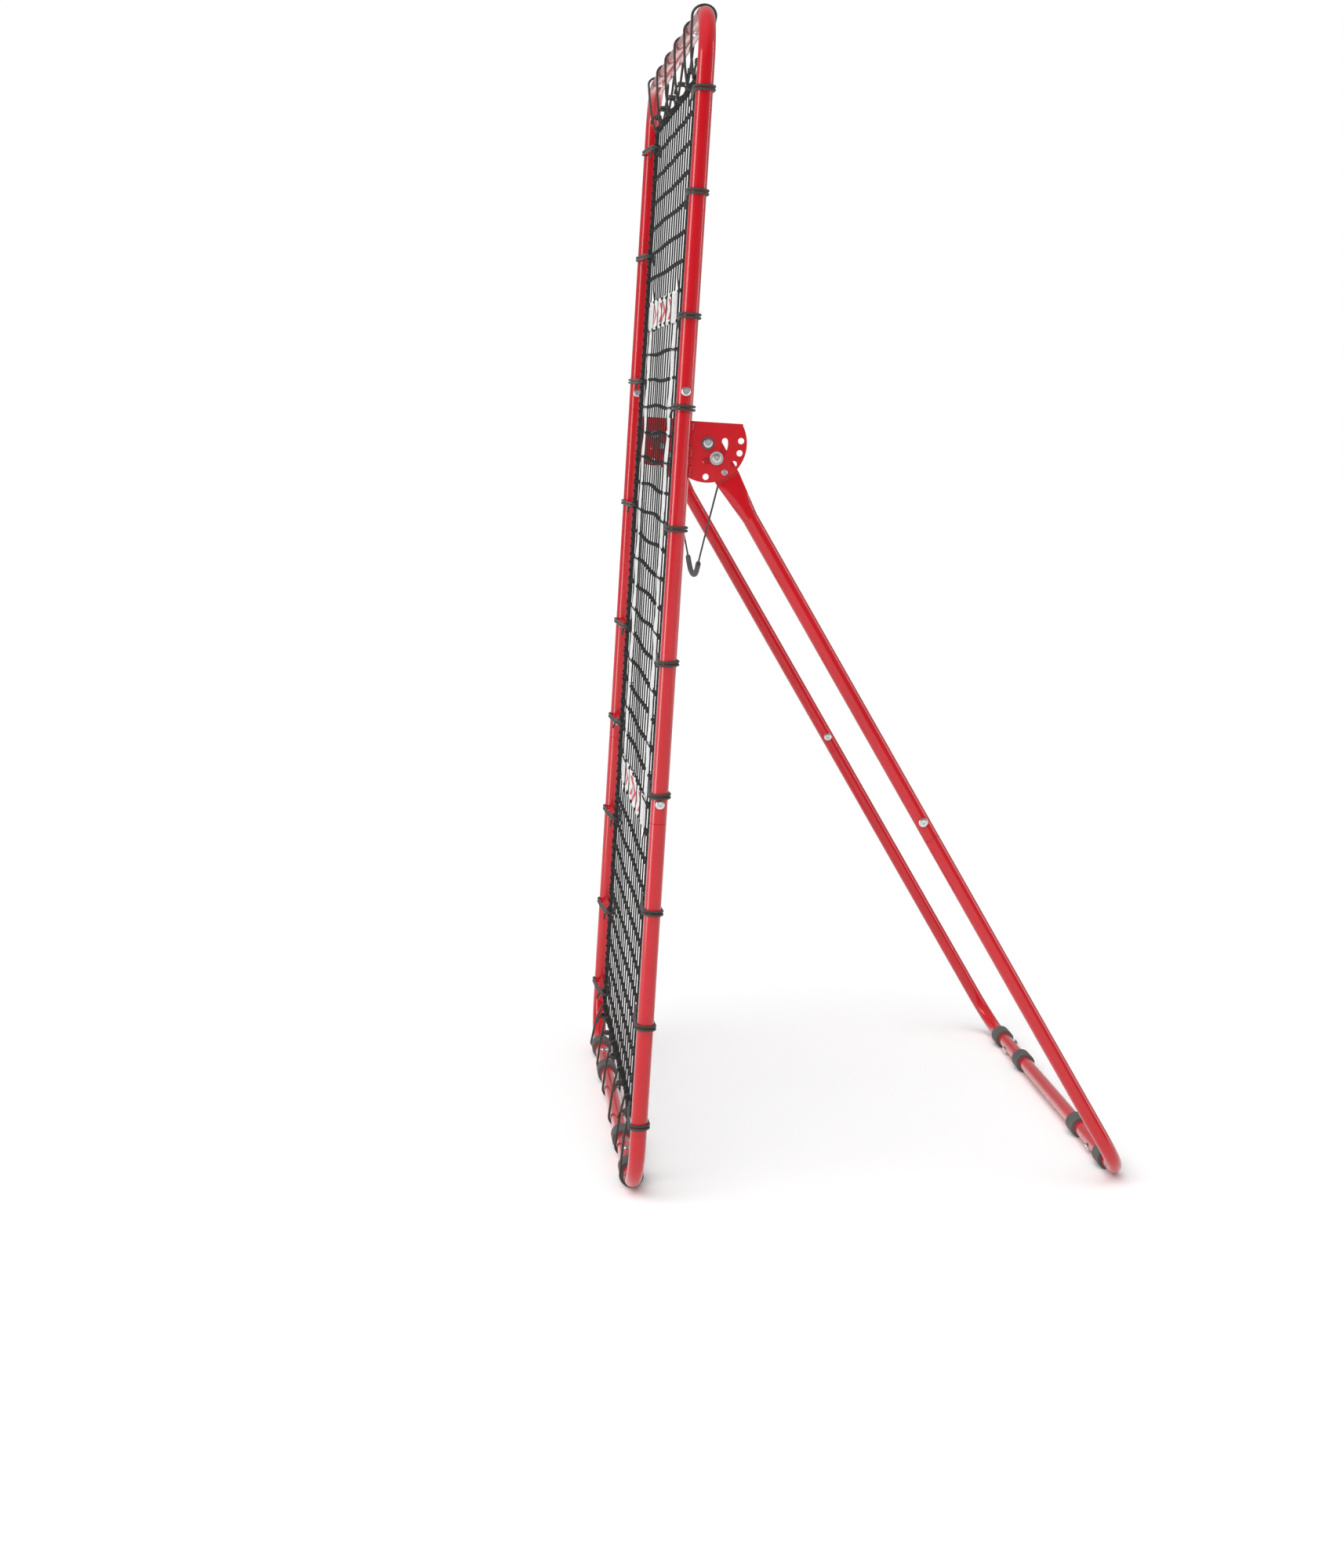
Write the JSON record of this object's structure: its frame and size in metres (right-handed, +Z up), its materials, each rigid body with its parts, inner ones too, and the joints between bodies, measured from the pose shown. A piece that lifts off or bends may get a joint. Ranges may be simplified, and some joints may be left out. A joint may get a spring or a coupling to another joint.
{
  "type": "pitching target net",
  "caption": "Leaning tube frame with a laced rebound net and a webbing strike zone, on a fold-out rear leg frame with slotted hinge plates.",
  "frame": {"origin": "on the ground, at the bottom centre of the box, midway between the two bottom bars", "axes": "+Z up, +X to the thrower's right as seen from the net's front, the net faces -Y and the legs stand towards +Y"},
  "size_m": [1.0486, 0.8013, 1.7949],
  "materials": {
    "red_powder_coat": "glossy red powder coat",
    "zinc_hardware": "bright zinc plate",
    "steel_pin": "plain turned steel",
    "ring_rubber": "matt black rubber",
    "net_cord": "black knotted cord",
    "zone_webbing": "white woven webbing",
    "tie_bungee": "black braided elastic cord",
    "pull_cord": "black braided cord",
    "handle_rubber": "matt dark grey rubber tube"
  },
  "bodies": {
    "net_panel": {"upper_corner_left": "red_powder_coat", "upper_corner_right": "red_powder_coat", "top_bar": "red_powder_coat", "mid_post_left": "red_powder_coat", "mid_post_right": "red_powder_coat", "lower_corner_left": "red_powder_coat", "lower_corner_right": "red_powder_coat", "bottom_bar": "red_powder_coat", "panel_splice_bolts": "zinc_hardware", "panel_splice_nuts": "zinc_hardware", "panel_foot_rings": "ring_rubber", "hinge_plate_left": "red_powder_coat", "hinge_plate_right": "red_powder_coat", "pivot_bolts": "zinc_hardware", "pivot_washers": "zinc_hardware", "pivot_nuts": "zinc_hardware", "rebound_net": "net_cord", "net_border_rope": "net_cord", "strike_zone_top_band": "zone_webbing", "strike_zone_bottom_band": "zone_webbing", "strike_zone_strap_left": "zone_webbing", "strike_zone_strap_right": "zone_webbing", "side_ties_left": "tie_bungee", "side_ties_right": "tie_bungee", "top_ties": "tie_bungee", "bottom_ties": "tie_bungee"},
    "leg_frame": {"upper_leg_left": "red_powder_coat", "upper_leg_right": "red_powder_coat", "lower_leg_left": "red_powder_coat", "lower_leg_right": "red_powder_coat", "leg_bottom_bar": "red_powder_coat", "leg_splice_bolts": "zinc_hardware", "leg_splice_nuts": "zinc_hardware", "leg_foot_rings": "ring_rubber", "guide_bolts": "zinc_hardware", "guide_washers": "zinc_hardware", "guide_nuts": "zinc_hardware", "pin_barrel_left": "steel_pin", "pin_barrel_right": "steel_pin", "pin_spring_left": "steel_pin", "pin_spring_right": "steel_pin"},
    "release_pin_left": {"release_pin_left": "steel_pin"},
    "release_pin_right": {"release_pin_right": "steel_pin"},
    "pull_line": {"pull_cord": "pull_cord", "pull_handle": "handle_rubber"}
  },
  "joints": [
    {"name": "leg_fold", "type": "hinge", "parent": "net_panel", "child": "leg_frame", "pos_m": [0, -0.26728, 1.15617], "axis": [1, 0, 0], "range_deg": [-33.5, 63.4], "deforming": ["release_pin_left", "release_pin_right"]},
    {"name": "release_pin_left_slide", "type": "slide", "parent": "leg_frame", "child": "release_pin_left", "axis": [1, 0, 0], "range_m": [0, 0.008], "stiffness_N_per_m": 1200, "springref_m": -0.005, "deforming": ["pin_spring_left", "pull_cord"]},
    {"name": "release_pin_right_slide", "type": "slide", "parent": "leg_frame", "child": "release_pin_right", "axis": [-1, 0, 0], "range_m": [0, 0.008], "stiffness_N_per_m": 1200, "springref_m": -0.005, "deforming": ["pin_spring_right"]},
    {"name": "handle_swing", "type": "hinge", "parent": "leg_frame", "child": "pull_line", "pos_m": [0, -0.24276, 1.11317], "axis": [1, 0, 0], "range_deg": [-63.5, 33.6]}
  ],
  "couplings": [
    {"joint": "release_pin_left_slide", "follows": "release_pin_right_slide", "ratio": 1},
    {"joint": "handle_swing", "follows": "leg_fold", "ratio": -1}
  ]
}
